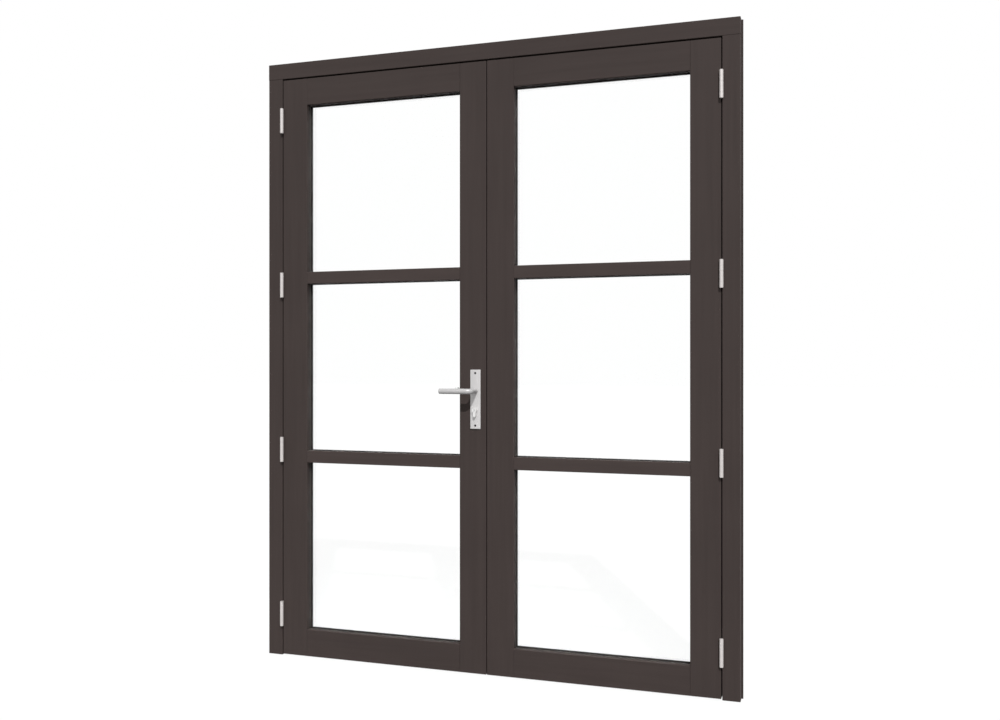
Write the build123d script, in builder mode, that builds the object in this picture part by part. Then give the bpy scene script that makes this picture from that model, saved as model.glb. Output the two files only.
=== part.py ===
"""A pair of outward-opening glazed french doors in their timber frame.

The frame is two jambs, a full-width head and planted stops. Each leaf is two stiles, two rails and
two glazing bars round three sealed glass units, and hangs on four butt hinges. The left leaf is
the active one, with a lever lock. The right leaf is held by two flush bolts in its meeting edge.

X runs to the right as seen from outside, Y into the house, and Z up. The origin is midway between
the jambs, at their feet, in the middle plane of the closed leaves.
"""
import os

from build123d import *

os.makedirs("parts", exist_ok=True)

# Frame
FRAME_W = 1800
FRAME_H = 2300
FRAME_D = 114
FACE_W = 60
STOP_W = 14
LEAF_T = 54
SEAL_GAP = 4
ARRIS = 2
BACK_ARRIS = 1.2
SHOULDER_ARRIS = 0.6
RIB_OUT = 6
RIB_W = 8
RIB_FROM_FRONT = 38

# Leaves
SIDE_GAP = 3.5
MEETING_GAP = 3
HEAD_GAP = 6
FLOOR_GAP = 4
HINGE_STILE_W = 104
MEETING_STILE_W = 102.5
RAIL_H = 102
BAR_H = 46
PANES = 3
TENON_T = 12
RAIL_TENON_L = 40
RAIL_TENON_H = 56
BAR_TENON_L = 22
BAR_TENON_H = 12
DRIP_W = 5
DRIP_DEEP = 5
DRIP_FROM_FRONT = 9

# Glazing, front to back: lip, gasket, outer pane, spacer, inner pane, bead
LIP_D = 19
REBATE_H = 14
GLASS_COVER = 12
GASKET_T = 3
GASKET_COVER = 9
PANE_T = 4
SPACER_D = 12
SPACER_W = 7
SPACER_INSET = 2
BEAD_BEVEL = 3
MITRE_GAP = 0.1

# Hinges
HINGE_COUNT = 4
HINGE_FIRST_Z = 162
HINGE_PITCH = 638
HINGE_L = 96
KNUCKLE_R = 7
KNUCKLES = 5
KNUCKLE_PLAY = 0.3
PIN_R = 3
PIN_PLAY = 0.05
PIN_CAP_T = 1.5
PIN_CAP_R = 6.5
HINGE_AXIS_OUT = 8
FLAP_T = 2.2
FLAP_D = 30
FLAP_SCREWS = ((-36, 9), (-13, 20), (13, 9), (36, 20))
FLAP_SCREW_R = 2.2
FLAP_SCREW_HEAD_R = 4

# Frame fixings
FIX_HOLE_R = 4
FIX_HEAD_R = 8
FIX_Z_LOW = 481
FIX_Z_PITCH = 1275
FIX_X_PITCH = 900

# Lock furniture
BACKSET = 40
SPINDLE_Z = 1034
SPINDLE_SQUARE = 8
CYLINDER_DROP = 70
CYLINDER_R = 8.5
CYLINDER_H = 33
CYLINDER_LEG_W = 10
CYLINDER_OUT = 12
CYLINDER_PLAY = 0.2
CYLINDER_ROOM = 1
CAM_W = 9
CAM_SLOT_W = 10
CAM_RING_R = 8.2
CAM_REACH = 13.5
CAM_TONGUE_T = 6
CAM_SLOT_LOW = 15
PLUG_R = 6.4
KEYWAY = (1.6, 9, 8)
PLATE_W = 38.5
PLATE_H = 216
PLATE_EDGE_T = 4
PLATE_MID_T = 6
PLATE_BEVEL = 1.5
PLATE_Z = 1003.7
PLATE_SCREW_PITCH = 191
PLATE_SCREW_R = 2.5
PLATE_SCREW_HEAD_R = 4
PLATE_SCREW_HEAD_T = 2
PLATE_SCREW_SINK = 3
PLATE_SCREW_HEX_R = 2
LEVER_R = 10
LEVER_OUT = 60
LEVER_L = 120
LEVER_BEND = 16
LEVER_END_ROUND = 3
JOURNAL_R = 8
SPINDLE_GRIP = 16
CASE_T = 15
CASE_WALL = 2
CASE_Z = (925, 1085)
CASE_DEPTH = 64
FOREND = (230, 20, 3)
FOREND_Z = 1005
EDGE_SCREW_PITCH = 208
EDGE_SCREW_R = 2.2
EDGE_SCREW_HEAD_R = 4
CYLINDER_SCREW_R = 2.6
LATCH_Z = 1064
LATCH_SIZE = (40, 10, 16)
LATCH_THROW = 12
LATCH_NOSE = 2
LATCH_BEVEL = 11
DEAD_Z = 985
DEAD_SIZE = (30, 10, 30)
DEAD_THROW = 20
BOLT_SLOT_ROOM = 1
POCKET_ROOM = 2
POCKET_DEEPER = 4
FIT = 0.1

# Strike, flush bolts and seals
STRIKE_T = 2
BOLT_R = 5
BOLT_INSET = 12
BOLT_L = 133
BOLT_THROW = 15
BOLT_PLATE = (150, 20, 3)
BOLT_PLATE_END = 24
BOLT_PLATE_SCREW_PITCH = 132
BOLT_GUIDE_H = 10
BOLT_GUIDE_FROM_TAIL = 2
BOLT_GUIDE_WALL = 2
BOLT_SHOULDER = 1
BOLT_ROOM = 1
BOLT_TIP_BACK = 1
THUMB_H = 10
THUMB_W = 7
THUMB_FROM_TAIL = 30
THUMB_SINK = 0.5
THUMB_ROOM = 1
KEEP = (34, 20, 2)
KEEP_PLAY = 0.5
KEEP_SCREW_PITCH = 24
KEEP_SCREW_R = 1.8
KEEP_SCREW_HEAD_R = 3.2
SEAL_W = 4
SEAL_ROOT = 5
BULB_R = 2.25
MEETING_SEAL_FROM_BACK = 8
MEETING_BULB_R = 1.2
SEAL_LIP = 1

# Worked-out levels and depths
Y_FRONT = -LEAF_T / 2
Y_BACK = LEAF_T / 2
Y_FRAME_BACK = Y_FRONT + FRAME_D
Y_STOP = Y_BACK + SEAL_GAP
Y_LIP = Y_FRONT + LIP_D
Y_GLASS = Y_LIP + GASKET_T
Y_INNER_PANE = Y_GLASS + PANE_T + SPACER_D
Y_BEAD = Y_INNER_PANE + PANE_T
Y_MEETING_SEAL = Y_BACK - MEETING_SEAL_FROM_BACK
JAMB_IN = FRAME_W / 2 - FACE_W
HEAD_UNDER = FRAME_H - FACE_W
SEAL_X = JAMB_IN - STOP_W + (STOP_W - SEAL_W) / 2
SEAL_TOP = HEAD_UNDER - (STOP_W - SEAL_W) / 2
LEAF_LOW = FLOOR_GAP
LEAF_TOP = HEAD_UNDER - HEAD_GAP
EDGE_MEET = MEETING_GAP / 2
EDGE_HINGE = JAMB_IN - SIDE_GAP
OPEN_IN = EDGE_MEET + MEETING_STILE_W
OPEN_OUT = EDGE_HINGE - HINGE_STILE_W
OPEN_MID = (OPEN_IN + OPEN_OUT) / 2
OPEN_W = OPEN_OUT - OPEN_IN
PANE_H = (LEAF_TOP - LEAF_LOW - 2 * RAIL_H - (PANES - 1) * BAR_H) / PANES
PANE_LOWS = [LEAF_LOW + RAIL_H + i * (PANE_H + BAR_H) for i in range(PANES)]
BAR_LOWS = [low + PANE_H for low in PANE_LOWS[:-1]]
HINGE_X = JAMB_IN - SIDE_GAP / 2
HINGE_Y = Y_FRONT - HINGE_AXIS_OUT
HINGE_ZS = [HINGE_FIRST_Z + i * HINGE_PITCH for i in range(HINGE_COUNT)]
BARREL_L = HINGE_L - 2 * PIN_CAP_T
SPINDLE_X = -EDGE_MEET - BACKSET
CYLINDER_Z = SPINDLE_Z - CYLINDER_DROP
LEG_Z = CYLINDER_Z + CYLINDER_R - CYLINDER_H + CYLINDER_LEG_W / 2
SIDES = {"left": -1, "right": 1}
LEVELS = ("lower", "middle", "upper")


def save(part, name):
    """Label one finished piece and write its file."""
    part.label = name
    export_step(part, f"parts/{name}.step")


def block(x, y, z, mode=Mode.ADD):
    """A box between two values on each axis, given in either order."""
    sizes = [abs(span[1] - span[0]) for span in (x, y, z)]
    with Locations(tuple(sum(span) / 2 for span in (x, y, z))):
        Box(*sizes, mode=mode)


def cross_hole(x, z, radius, y=(Y_FRONT, Y_BACK)):
    """Cut a round hole that runs front to back."""
    with BuildSketch(Plane.XZ.offset(-max(y))) as outline:
        with Locations((x, z)):
            Circle(radius)
    extrude(outline.sketch, amount=abs(y[1] - y[0]), mode=Mode.SUBTRACT)


def keyhole_outline(extra=0.0):
    """The round head and narrow leg of a profile cylinder, drawn in the XZ plane."""
    with Locations((SPINDLE_X, CYLINDER_Z)):
        Circle(CYLINDER_R + extra)
    with Locations((SPINDLE_X, (CYLINDER_Z + LEG_Z) / 2)):
        Rectangle(CYLINDER_LEG_W + 2 * extra, CYLINDER_Z - LEG_Z)
    with Locations((SPINDLE_X, LEG_Z)):
        Circle(CYLINDER_LEG_W / 2 + extra)


def side_screw_hole(x, y, z, into, radii, depth):
    """Cut a countersunk hole that runs along X from a face at x, into = -1 or 1."""
    with Locations(Location((x, y, z), (0, -into * 90, 0))):
        CounterSinkHole(*radii, depth=depth)


def make_jamb(side, name):
    """A jamb with its wall rib, hinge recesses and fixing holes."""
    outer = FRAME_W / 2
    rib_y = Y_FRONT + RIB_FROM_FRONT
    outline = [
        (JAMB_IN, Y_FRONT), (outer, Y_FRONT), (outer, rib_y), (outer + RIB_OUT, rib_y),
        (outer + RIB_OUT, rib_y + RIB_W), (outer, rib_y + RIB_W), (outer, Y_FRAME_BACK),
        (JAMB_IN, Y_FRAME_BACK),
    ]
    with BuildPart() as jamb:
        with BuildSketch(Plane.XY):
            with BuildLine():
                Polyline([(side * x, y) for x, y in outline], close=True)
            make_face()
        extrude(amount=HEAD_UNDER)
        long_edges = jamb.edges().filter_by(Axis.Z)
        fillet(long_edges.group_by(Axis.Y)[0], ARRIS)
        fillet(long_edges.group_by(Axis.Y)[-1], BACK_ARRIS)
        top_front = jamb.faces().sort_by(Axis.Z)[-1].edges().sort_by(Axis.Y)[0]
        chamfer(top_front, SHOULDER_ARRIS)
        for z in HINGE_ZS:
            recess_x = (side * JAMB_IN, side * (JAMB_IN + FLAP_T))
            block(recess_x, (Y_FRONT, Y_FRONT + FLAP_D), (z - BARREL_L / 2, z + BARREL_L / 2),
                  Mode.SUBTRACT)
        for z in (FIX_Z_LOW, FIX_Z_LOW + FIX_Z_PITCH):
            side_screw_hole(side * JAMB_IN, 0, z, side, (FIX_HOLE_R, FIX_HEAD_R), FACE_W)
    save(jamb.part, name)


def make_head():
    """The head runs over both jambs and carries the wall ribs on to the top."""
    half = FRAME_W / 2
    rib_y = Y_FRONT + RIB_FROM_FRONT
    with BuildPart() as head:
        block((-half, half), (Y_FRONT, Y_FRAME_BACK), (HEAD_UNDER, FRAME_H))
        fillet(head.edges().filter_by(Axis.X).group_by(Axis.Y)[0], ARRIS)
        fillet(head.edges().filter_by(Axis.X).group_by(Axis.Y)[-1], BACK_ARRIS)
        for side in SIDES.values():
            block((side * half, side * (half + RIB_OUT)), (rib_y, rib_y + RIB_W),
                  (HEAD_UNDER, FRAME_H))
        with Locations((EDGE_MEET + BOLT_INSET, 0, HEAD_UNDER + KEEP[2] / 2)):
            Box(KEEP[0], KEEP[1], KEEP[2], mode=Mode.SUBTRACT)
        with Locations((EDGE_MEET + BOLT_INSET, 0, HEAD_UNDER)):
            Cylinder(BOLT_R + BOLT_ROOM, 2 * (BOLT_THROW + KEEP[2]), mode=Mode.SUBTRACT)
        for x in (-FIX_X_PITCH / 2, FIX_X_PITCH / 2):
            with Locations(Location((x, 0, HEAD_UNDER), (180, 0, 0))):
                CounterSinkHole(FIX_HOLE_R, FIX_HEAD_R, depth=FACE_W)
    save(head.part, "head")


def make_stops():
    """The planted stops that the closed leaves seal against, each grooved for its gasket."""
    groove_y = (Y_STOP, Y_STOP + SEAL_ROOT)
    stop_in = JAMB_IN - STOP_W
    for name, side in SIDES.items():
        with BuildPart() as stop:
            block((side * stop_in, side * JAMB_IN), (Y_STOP, Y_FRAME_BACK), (0, HEAD_UNDER))
            block((side * SEAL_X, side * (SEAL_X + SEAL_W)), groove_y, (0, SEAL_TOP), Mode.SUBTRACT)
            block((side * stop_in, side * SEAL_X), groove_y, (SEAL_TOP - SEAL_W, SEAL_TOP),
                  Mode.SUBTRACT)
            back_edges = stop.edges().filter_by(Axis.Z).group_by(Axis.Y)[-1]
            fillet(back_edges.sort_by(Axis.X)[-1 if side < 0 else 0], ARRIS)
        save(stop.part, f"{name}_stop")
    with BuildPart() as stop:
        block((-stop_in, stop_in), (Y_STOP, Y_FRAME_BACK), (HEAD_UNDER - STOP_W, HEAD_UNDER))
        block((-stop_in, stop_in), groove_y, (SEAL_TOP - SEAL_W, SEAL_TOP), Mode.SUBTRACT)
        fillet(stop.edges().filter_by(Axis.X).group_by(Axis.Y)[-1].sort_by(Axis.Z)[0], ARRIS)
    save(stop.part, "head_stop")


def make_frame_gasket():
    """One bulb seal in the stops, up each side and across the head."""
    bulb_y = Y_BACK + FIT + BULB_R
    with BuildPart() as gasket:
        for side in SIDES.values():
            with BuildSketch(Plane.XY):
                with Locations((side * (SEAL_X + SEAL_W / 2), Y_STOP + SEAL_ROOT / 2)):
                    Rectangle(SEAL_W, SEAL_ROOT)
                with Locations((side * (SEAL_X + SEAL_W / 2), bulb_y)):
                    Circle(BULB_R)
            extrude(amount=SEAL_TOP)
        with BuildSketch(Plane.YZ.offset(-SEAL_X)):
            with Locations((Y_STOP + SEAL_ROOT / 2, SEAL_TOP - SEAL_W / 2)):
                Rectangle(SEAL_ROOT, SEAL_W)
            with Locations((bulb_y, SEAL_TOP - SEAL_W / 2)):
                Circle(BULB_R)
        extrude(amount=2 * SEAL_X)
    save(gasket.part, "frame_gasket")


def cut_drip_groove(x):
    """Cut the groove under a leaf that sheds water before it reaches the back."""
    front = Y_FRONT + DRIP_FROM_FRONT
    block(x, (front, front + DRIP_W), (LEAF_LOW, LEAF_LOW + DRIP_DEEP), Mode.SUBTRACT)


def cut_pane_rebates(x):
    """Cut the glazing rebate of every pane into a stile."""
    for low in PANE_LOWS:
        block(x, (Y_LIP, Y_BACK), (low - REBATE_H, low + PANE_H + REBATE_H), Mode.SUBTRACT)


def cut_mortises(side, edge, inwards):
    """Cut the rail and glazing bar mortises into a stile from its glazed edge."""
    tenon_y = (-TENON_T / 2, TENON_T / 2)
    for middle in (LEAF_LOW + RAIL_H / 2, LEAF_TOP - RAIL_H / 2):
        block((side * edge, side * (edge + inwards * RAIL_TENON_L)), tenon_y,
              (middle - RAIL_TENON_H / 2, middle + RAIL_TENON_H / 2), Mode.SUBTRACT)
    for low in BAR_LOWS:
        middle = low + BAR_H / 2
        block((side * edge, side * (edge + inwards * BAR_TENON_L)), tenon_y,
              (middle - BAR_TENON_H / 2, middle + BAR_TENON_H / 2), Mode.SUBTRACT)


def make_hinge_stile(side, name):
    """An outer stile, let in for its four hinge flaps."""
    with BuildPart() as stile:
        block((side * OPEN_OUT, side * EDGE_HINGE), (Y_FRONT, Y_BACK), (LEAF_LOW, LEAF_TOP))
        fillet(stile.edges().filter_by(Axis.Z).group_by(Axis.Y)[0], ARRIS)
        fillet(stile.edges().filter_by(Axis.Z).group_by(Axis.Y)[-1], BACK_ARRIS)
        cut_pane_rebates((side * OPEN_OUT, side * (OPEN_OUT + REBATE_H)))
        cut_mortises(side, OPEN_OUT, 1)
        cut_drip_groove((side * OPEN_OUT, side * EDGE_HINGE))
        for z in HINGE_ZS:
            block((side * (EDGE_HINGE - FLAP_T), side * EDGE_HINGE), (Y_FRONT, Y_FRONT + FLAP_D),
                  (z - BARREL_L / 2, z + BARREL_L / 2), Mode.SUBTRACT)
    save(stile.part, f"{name}_hinge_stile")


def make_active_stile():
    """The left meeting stile, cut for the lock case, spindle, cylinder and plate screws."""
    with BuildPart() as stile:
        block((-OPEN_IN, -EDGE_MEET), (Y_FRONT, Y_BACK), (LEAF_LOW, LEAF_TOP))
        fillet(stile.edges().filter_by(Axis.Z).group_by(Axis.Y)[0], ARRIS)
        fillet(stile.edges().filter_by(Axis.Z).group_by(Axis.Y)[-1], BACK_ARRIS)
        cut_pane_rebates((-OPEN_IN, -OPEN_IN + REBATE_H))
        cut_mortises(-1, OPEN_IN, -1)
        cut_drip_groove((-OPEN_IN, -EDGE_MEET))
        forend_x = (-EDGE_MEET, -EDGE_MEET - FOREND[2])
        block(forend_x, (-FOREND[1] / 2, FOREND[1] / 2),
              (FOREND_Z - FOREND[0] / 2, FOREND_Z + FOREND[0] / 2), Mode.SUBTRACT)
        block((forend_x[1], forend_x[1] - CASE_DEPTH), (-CASE_T / 2, CASE_T / 2), CASE_Z,
              Mode.SUBTRACT)
        cross_hole(SPINDLE_X, SPINDLE_Z, JOURNAL_R + CYLINDER_ROOM)
        with BuildSketch(Plane.XZ.offset(-Y_BACK)):
            keyhole_outline(CYLINDER_ROOM)
        extrude(amount=LEAF_T, mode=Mode.SUBTRACT)
        for z in (PLATE_Z - PLATE_SCREW_PITCH / 2, PLATE_Z + PLATE_SCREW_PITCH / 2):
            cross_hole(SPINDLE_X, z, PLATE_SCREW_R)
    save(stile.part, "left_meeting_stile")


def bolt_plate_levels(end):
    """The leaf edge by a flush bolt, and its plate's two ends, at the top (1) or foot (-1)."""
    edge = LEAF_TOP if end > 0 else LEAF_LOW
    near = edge - end * BOLT_PLATE_END
    return edge, near, near - end * BOLT_PLATE[0]


def bolt_rod_levels(end):
    """A drawn flush bolt's tip, its tail and the middle of its thumb piece."""
    tip = (LEAF_TOP if end > 0 else LEAF_LOW) - end * BOLT_TIP_BACK
    tail = tip - end * BOLT_L
    return tip, tail, tail + end * THUMB_FROM_TAIL


def make_passive_stile():
    """The right meeting stile, cut for the strike, the flush bolts and the meeting seal."""
    with BuildPart() as stile:
        block((EDGE_MEET, OPEN_IN), (Y_FRONT, Y_BACK), (LEAF_LOW, LEAF_TOP))
        fillet(stile.edges().filter_by(Axis.Z).group_by(Axis.Y)[0], ARRIS)
        fillet(stile.edges().filter_by(Axis.Z).group_by(Axis.Y)[-1], BACK_ARRIS)
        cut_pane_rebates((OPEN_IN - REBATE_H, OPEN_IN))
        cut_mortises(1, OPEN_IN, -1)
        cut_drip_groove((EDGE_MEET, OPEN_IN))
        block((EDGE_MEET, EDGE_MEET + STRIKE_T), (-FOREND[1] / 2, FOREND[1] / 2),
              (FOREND_Z - FOREND[0] / 2, FOREND_Z + FOREND[0] / 2), Mode.SUBTRACT)
        for z, size, throw in ((LATCH_Z, LATCH_SIZE, LATCH_THROW), (DEAD_Z, DEAD_SIZE, DEAD_THROW)):
            half_y, half_z = size[1] / 2 + POCKET_ROOM, size[2] / 2 + POCKET_ROOM
            block((EDGE_MEET, EDGE_MEET + throw + POCKET_DEEPER), (-half_y, half_y),
                  (z - half_z, z + half_z), Mode.SUBTRACT)
        for end in (1, -1):
            edge, near, far = bolt_plate_levels(end)
            plate_x = (EDGE_MEET, EDGE_MEET + BOLT_PLATE[2])
            block(plate_x, (-BOLT_PLATE[1] / 2, BOLT_PLATE[1] / 2), (near, far), Mode.SUBTRACT)
            block((plate_x[1], EDGE_MEET + BOLT_INSET + BOLT_R + BOLT_GUIDE_WALL),
                  (-BOLT_R - BOLT_SHOULDER, BOLT_R + BOLT_SHOULDER), (near, far), Mode.SUBTRACT)
            with Locations((EDGE_MEET + BOLT_INSET, 0, (edge + near) / 2)):
                Cylinder(BOLT_R + BOLT_ROOM, abs(edge - near), mode=Mode.SUBTRACT)
        block((EDGE_MEET, EDGE_MEET + SEAL_ROOT),
              (Y_MEETING_SEAL - SEAL_W / 2, Y_MEETING_SEAL + SEAL_W / 2),
              (LEAF_LOW, LEAF_TOP), Mode.SUBTRACT)
    save(stile.part, "right_meeting_stile")


def make_cross_member(side, name, low, height, tenon, rebates):
    """A rail or glazing bar, tenoned at both ends. rebates lists the glazed edges, -1 or 1.

    Each front shoulder has a fine arris, which leaves a line where it meets the stile.
    """
    tenon_l, tenon_h = tenon
    middle = low + height / 2
    with BuildPart() as member:
        block((side * OPEN_IN, side * OPEN_OUT), (Y_FRONT, Y_BACK), (low, low + height))
        front_edges = member.edges().filter_by(Axis.X).group_by(Axis.Y)[0].sort_by(Axis.Z)
        fillet([front_edges[0 if edge < 0 else -1] for edge in rebates], ARRIS)
        shoulders = member.edges().filter_by(Axis.Z).group_by(Axis.Y)[0]
        chamfer(shoulders, SHOULDER_ARRIS)
        if low == LEAF_LOW:
            cut_drip_groove((side * OPEN_IN, side * OPEN_OUT))
        for edge in rebates:
            glazed = low if edge < 0 else low + height
            block((side * OPEN_IN, side * OPEN_OUT), (Y_LIP, Y_BACK),
                  (glazed, glazed - edge * REBATE_H), Mode.SUBTRACT)
        block((side * (OPEN_IN - tenon_l), side * (OPEN_OUT + tenon_l)),
              (-TENON_T / 2, TENON_T / 2), (middle - tenon_h / 2, middle + tenon_h / 2))
    save(member.part, name)


def bead_outlines():
    """The four mitred bead strips round a pane, as corner points about the pane's middle."""
    in_x, in_z = OPEN_W / 2, PANE_H / 2
    out_x, out_z = in_x + REBATE_H, in_z + REBATE_H
    for end in (-1, 1):
        yield [(-out_x + MITRE_GAP, end * out_z), (out_x - MITRE_GAP, end * out_z),
               (in_x - MITRE_GAP, end * in_z), (-in_x + MITRE_GAP, end * in_z)]
        yield [(end * out_x, -out_z + MITRE_GAP), (end * out_x, out_z - MITRE_GAP),
               (end * in_x, in_z - MITRE_GAP), (end * in_x, -in_z + MITRE_GAP)]


def make_glazing(side, name):
    """Three sealed units with their spacers, front gaskets and mitred inner beads."""
    x_mid = side * OPEN_MID
    glass_w = OPEN_W + 2 * GLASS_COVER
    glass_h = PANE_H + 2 * GLASS_COVER
    pane_mids = [low + PANE_H / 2 for low in PANE_LOWS]
    for level, z in zip(LEVELS, pane_mids):
        with BuildPart() as glass:
            for y in (Y_GLASS, Y_INNER_PANE):
                with Locations((x_mid, y + PANE_T / 2, z)):
                    Box(glass_w, PANE_T, glass_h)
        save(glass.part, f"{name}_{level}_glass")

    with BuildPart() as spacers:
        for z in pane_mids:
            with BuildSketch(Plane.XZ.offset(-(Y_GLASS + PANE_T + SPACER_D))):
                with Locations((x_mid, z)):
                    Rectangle(glass_w - 2 * SPACER_INSET, glass_h - 2 * SPACER_INSET)
                    inset = 2 * (SPACER_INSET + SPACER_W)
                    Rectangle(glass_w - inset, glass_h - inset, mode=Mode.SUBTRACT)
            extrude(amount=SPACER_D)
    save(spacers.part, f"{name}_glass_spacers")

    with BuildPart() as gaskets:
        for z in pane_mids:
            with BuildSketch(Plane.XZ.offset(-Y_GLASS)):
                with Locations((x_mid, z)):
                    Rectangle(OPEN_W + 2 * GASKET_COVER, PANE_H + 2 * GASKET_COVER)
                    Rectangle(OPEN_W, PANE_H, mode=Mode.SUBTRACT)
            extrude(amount=GASKET_T)
    save(gaskets.part, f"{name}_glazing_gaskets")

    with BuildPart() as beads:
        for z in pane_mids:
            for corners in bead_outlines():
                with BuildSketch(Plane.XZ.offset(-Y_BACK)):
                    with BuildLine():
                        Polyline([(x_mid + x, z + up) for x, up in corners], close=True)
                    make_face()
                extrude(amount=Y_BACK - Y_BEAD)
        back_edges = beads.edges().group_by(Axis.Y)[-1]
        sight = back_edges.filter_by(lambda edge: 2 * REBATE_H < edge.length < PANE_H)
        chamfer(sight, BEAD_BEVEL)
    save(beads.part, f"{name}_glazing_beads")


def make_hinge_half(side, z, knuckles, flap_x):
    """One half of a butt hinge: its flap, its knuckles and the bore for the pin."""
    pitch = BARREL_L / KNUCKLES
    foot = z - BARREL_L / 2
    for k in knuckles:
        low = foot + k * pitch + (KNUCKLE_PLAY / 2 if k else 0)
        high = foot + (k + 1) * pitch - (KNUCKLE_PLAY / 2 if k < KNUCKLES - 1 else 0)
        with Locations((side * HINGE_X, HINGE_Y, (low + high) / 2)):
            Cylinder(KNUCKLE_R, high - low)
        block(flap_x, (HINGE_Y, Y_FRONT), (low, high))
    block(flap_x, (Y_FRONT, Y_FRONT + FLAP_D), (foot, foot + BARREL_L))
    face_x = min(flap_x, key=lambda x: abs(abs(x) - HINGE_X))
    into = 1 if sum(flap_x) / 2 > face_x else -1
    for up, deep in FLAP_SCREWS:
        side_screw_hole(face_x, Y_FRONT + deep, z + up, into,
                        (FLAP_SCREW_R, FLAP_SCREW_HEAD_R), FLAP_T)
    with Locations((side * HINGE_X, HINGE_Y, z)):
        Cylinder(PIN_R + PIN_PLAY, BARREL_L, mode=Mode.SUBTRACT)


def make_hinges(side, name):
    """The leaf halves are one piece each. The four frame halves of a jamb share a file."""
    with BuildPart() as frame_halves:
        for z in HINGE_ZS:
            make_hinge_half(side, z, (0, 2, 4), (side * JAMB_IN, side * (JAMB_IN + FLAP_T)))
    save(frame_halves.part, f"{name}_hinge_frame_halves")
    for number, z in enumerate(HINGE_ZS, 1):
        with BuildPart() as leaf_half:
            make_hinge_half(side, z, (1, 3), (side * (EDGE_HINGE - FLAP_T), side * EDGE_HINGE))
        save(leaf_half.part, f"{name}_hinge_{number}_leaf_half")


def make_hinge_pins():
    """A pin with a flat cap at each end, through every hinge."""
    with BuildPart() as pins:
        for side in SIDES.values():
            for z in HINGE_ZS:
                with Locations((side * HINGE_X, HINGE_Y, z)):
                    Cylinder(PIN_R, HINGE_L)
                ends = [(side * HINGE_X, HINGE_Y, z + end * (HINGE_L - PIN_CAP_T) / 2)
                        for end in (1, -1)]
                with Locations(*ends):
                    Cylinder(PIN_CAP_R, PIN_CAP_T)
    save(pins.part, "hinge_pins")


def make_plate(face, name):
    """A long backplate, slightly domed across. face is -1 outside and 1 inside."""
    y_door = face * LEAF_T / 2
    half = PLATE_W / 2
    with BuildPart() as plate:
        with BuildSketch(Plane.XY.offset(PLATE_Z - PLATE_H / 2)):
            with BuildLine():
                Polyline((SPINDLE_X - half, y_door + face * PLATE_EDGE_T),
                         (SPINDLE_X - half, y_door), (SPINDLE_X + half, y_door),
                         (SPINDLE_X + half, y_door + face * PLATE_EDGE_T))
                ThreePointArc((SPINDLE_X + half, y_door + face * PLATE_EDGE_T),
                              (SPINDLE_X, y_door + face * PLATE_MID_T),
                              (SPINDLE_X - half, y_door + face * PLATE_EDGE_T))
            make_face()
        extrude(amount=PLATE_H)
        front_arcs = plate.edges().filter_by(GeomType.CIRCLE)
        chamfer(front_arcs, PLATE_BEVEL)
        through = (y_door, y_door + face * PLATE_MID_T)
        cross_hole(SPINDLE_X, SPINDLE_Z, JOURNAL_R + PIN_PLAY, through)
        with BuildSketch(Plane.XZ.offset(-max(through))):
            keyhole_outline(CYLINDER_PLAY)
        extrude(amount=PLATE_MID_T, mode=Mode.SUBTRACT)
        for z in (PLATE_Z - PLATE_SCREW_PITCH / 2, PLATE_Z + PLATE_SCREW_PITCH / 2):
            cross_hole(SPINDLE_X, z, PLATE_SCREW_R + FIT, through)
            head_y = (y_door + face * (PLATE_MID_T - PLATE_SCREW_SINK), through[1])
            cross_hole(SPINDLE_X, z, PLATE_SCREW_HEAD_R + FIT, head_y)
    save(plate.part, name)


def make_lever(face, name):
    """A round bar lever bent square, with a journal that turns in the backplate."""
    y_door = face * LEAF_T / 2
    y_plate = y_door + face * PLATE_MID_T
    y_grip = y_door + face * LEVER_OUT
    with BuildPart() as lever:
        with BuildLine():
            FilletPolyline((SPINDLE_X, y_plate, SPINDLE_Z), (SPINDLE_X, y_grip, SPINDLE_Z),
                           (SPINDLE_X - LEVER_L, y_grip, SPINDLE_Z), radius=LEVER_BEND)
        with BuildSketch(Plane(origin=(SPINDLE_X, y_plate, SPINDLE_Z), z_dir=(0, face, 0))):
            Circle(LEVER_R)
        sweep()
        fillet(lever.edges().sort_by(Axis.X)[0], LEVER_END_ROUND)
        with BuildSketch(Plane(origin=(SPINDLE_X, y_door, SPINDLE_Z), z_dir=(0, face, 0))):
            Circle(JOURNAL_R)
        extrude(amount=PLATE_MID_T)
        socket_y = (y_door, y_door + face * (PLATE_MID_T + SPINDLE_GRIP))
        half = SPINDLE_SQUARE / 2
        block((SPINDLE_X - half, SPINDLE_X + half), socket_y,
              (SPINDLE_Z - half, SPINDLE_Z + half), Mode.SUBTRACT)
    save(lever.part, name)


def make_spindle():
    """The square bar that joins the two levers through the lock."""
    half = SPINDLE_SQUARE / 2
    reach = LEAF_T / 2 + PLATE_MID_T + SPINDLE_GRIP
    with BuildPart() as spindle:
        block((SPINDLE_X - half, SPINDLE_X + half), (-reach, reach),
              (SPINDLE_Z - half, SPINDLE_Z + half))
    save(spindle.part, "spindle")


def make_plate_screws():
    """Two through screws that clamp the plates, with a round head at each end."""
    reach = LEAF_T / 2 + PLATE_MID_T - PLATE_SCREW_SINK
    with BuildPart() as screws:
        for z in (PLATE_Z - PLATE_SCREW_PITCH / 2, PLATE_Z + PLATE_SCREW_PITCH / 2):
            with BuildSketch(Plane.XZ.offset(-reach)):
                with Locations((SPINDLE_X, z)):
                    Circle(PLATE_SCREW_R)
            extrude(amount=2 * reach)
            for plane in (Plane.XZ.offset(-reach - PLATE_SCREW_HEAD_T), Plane.XZ.offset(reach)):
                with BuildSketch(plane):
                    with Locations((SPINDLE_X, z)):
                        Circle(PLATE_SCREW_HEAD_R)
                        RegularPolygon(PLATE_SCREW_HEX_R, 6, mode=Mode.SUBTRACT)
                extrude(amount=PLATE_SCREW_HEAD_T)
    save(screws.part, "plate_screws")


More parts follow.
